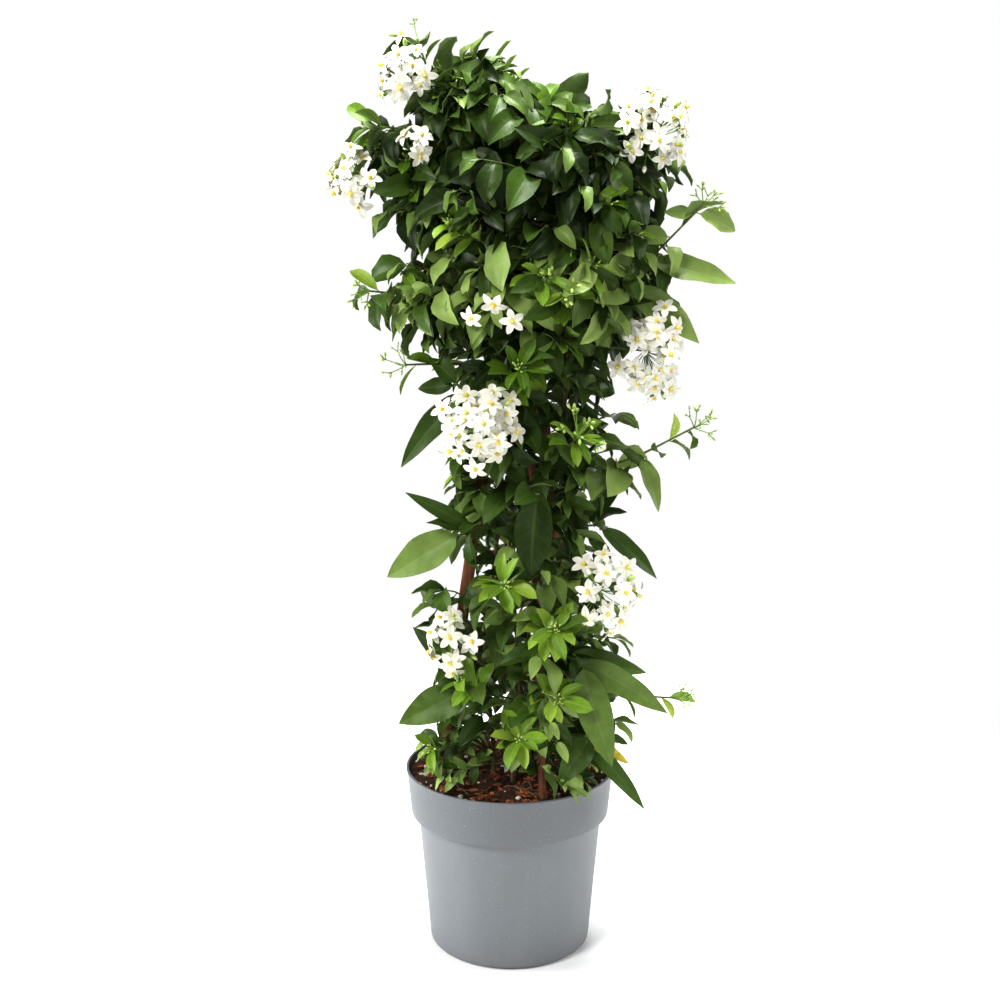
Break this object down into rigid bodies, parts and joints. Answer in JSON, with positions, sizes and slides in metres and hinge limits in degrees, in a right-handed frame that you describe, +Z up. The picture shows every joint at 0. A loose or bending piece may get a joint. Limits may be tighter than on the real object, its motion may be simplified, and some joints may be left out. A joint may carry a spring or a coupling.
{
  "type": "potted climbing plant",
  "caption": "Flowering potato vine twined up a lath wigwam in a round nursery pot, standing on the pot's flat base.",
  "frame": {"origin": "middle of the pot's underside", "axes": "+Z up, -Y towards the side with the most flowers, +X to the right seen from there"},
  "size_m": [0.3413, 0.2318, 0.8238],
  "materials": {
    "pot": "satin moulded polypropylene, light grey",
    "soil": "damp potting mix with bark and perlite",
    "lath": "rough sawn, stained red brown",
    "tie": "dull binding wire",
    "bark": "thin ridged bark",
    "leaf": "waxy, slightly glossy",
    "young_leaf": "waxy, bright",
    "petal": "matte, thin"
  },
  "bodies": {
    "root": {"pot": "pot", "soil": "soil", "lath_front": "lath", "lath_left": "lath", "lath_right": "lath", "lath_tie": "tie", "stem_0": "bark", "stem_1": "bark", "stem_2": "bark", "stem_3": "bark", "head_top_left": "petal", "head_far_left": "petal", "head_near_left": "petal", "head_right": "petal", "head_right_low": "petal", "head_middle": "petal", "head_low_right": "petal", "head_low_left": "petal", "head_back_high": "petal", "head_back_middle": "petal", "head_back_low": "petal", "single_flowers": "petal", "fallen_flower": "petal", "tip_crown_left": "young_leaf", "tip_crown_front": "young_leaf", "tip_neck": "young_leaf", "tip_waist": "young_leaf", "tip_middle": "young_leaf", "tip_front": "young_leaf", "tip_low_right": "young_leaf", "tip_low_left": "young_leaf", "tip_soil": "young_leaf", "old_left_high": "leaf", "old_left_middle": "leaf", "old_left_low": "leaf", "old_front": "leaf", "old_right_middle": "leaf", "old_right_low": "leaf", "old_rim": "leaf", "arm_right_high": "leaf", "arm_right_middle": "leaf", "arm_top": "leaf", "arm_top_tip": "leaf", "arm_left_high": "leaf", "arm_left_middle": "leaf", "arm_right_low": "leaf", "spray_column_1": "leaf", "spray_column_2": "leaf", "spray_column_3": "leaf", "spray_column_4": "leaf", "spray_column_5": "leaf", "spray_column_6": "leaf", "spray_crown_1": "leaf", "spray_crown_2": "leaf", "spray_crown_3": "leaf", "spray_crown_4": "leaf", "spray_crown_5": "leaf", "spray_crown_6": "leaf", "spray_top_1": "leaf", "spray_top_2": "leaf"}
  },
  "joints": []
}
